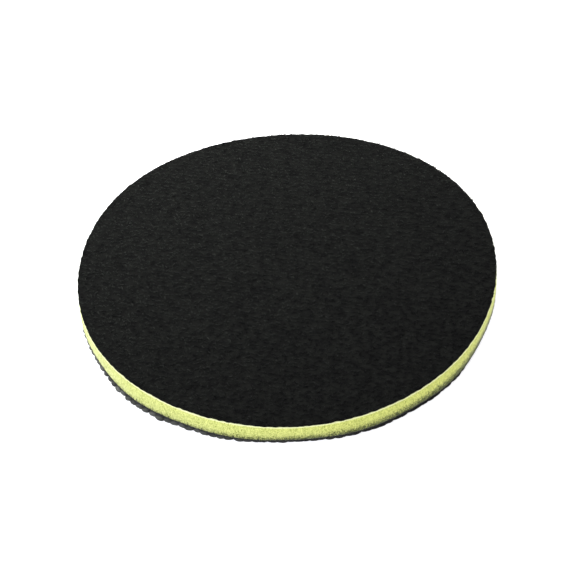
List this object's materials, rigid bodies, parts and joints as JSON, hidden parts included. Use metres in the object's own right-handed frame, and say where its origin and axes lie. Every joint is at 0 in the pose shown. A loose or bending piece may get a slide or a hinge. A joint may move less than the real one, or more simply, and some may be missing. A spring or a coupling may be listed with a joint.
{
  "type": "polishing pad",
  "caption": "Thin round polishing pad: black looped hook-and-loop backing, lime open-cell foam core and a knobbly looped microfibre working face, laminated and cut by one die.",
  "frame": {"origin": "middle of the working face, in the plane the pad rests on", "axes": "+Z along the pad's axis, from the microfibre working face up to the looped backing; the pad is round, so X and Y are any two directions across it"},
  "size_m": [0.1516, 0.1516, 0.0093],
  "materials": {
    "microfibre_pile": "charcoal looped microfibre, soft and matte with a faint sheen",
    "microfibre_cloth": "charcoal knitted ground",
    "bond_film": "translucent melted adhesive film",
    "foam": "lime open-cell polyurethane foam, matte, fine pores",
    "backing_cloth": "black knitted ground",
    "backing_loops": "black brushed nylon loops, matte, in fine broken rows"
  },
  "bodies": {
    "root": {"microfibre_pile": "microfibre_pile", "microfibre_ground_cloth": "microfibre_cloth", "face_bond_film": "bond_film", "foam_core": "foam", "backing_bond_film": "bond_film", "backing_ground_cloth": "backing_cloth", "backing_loops": "backing_loops"}
  },
  "joints": []
}
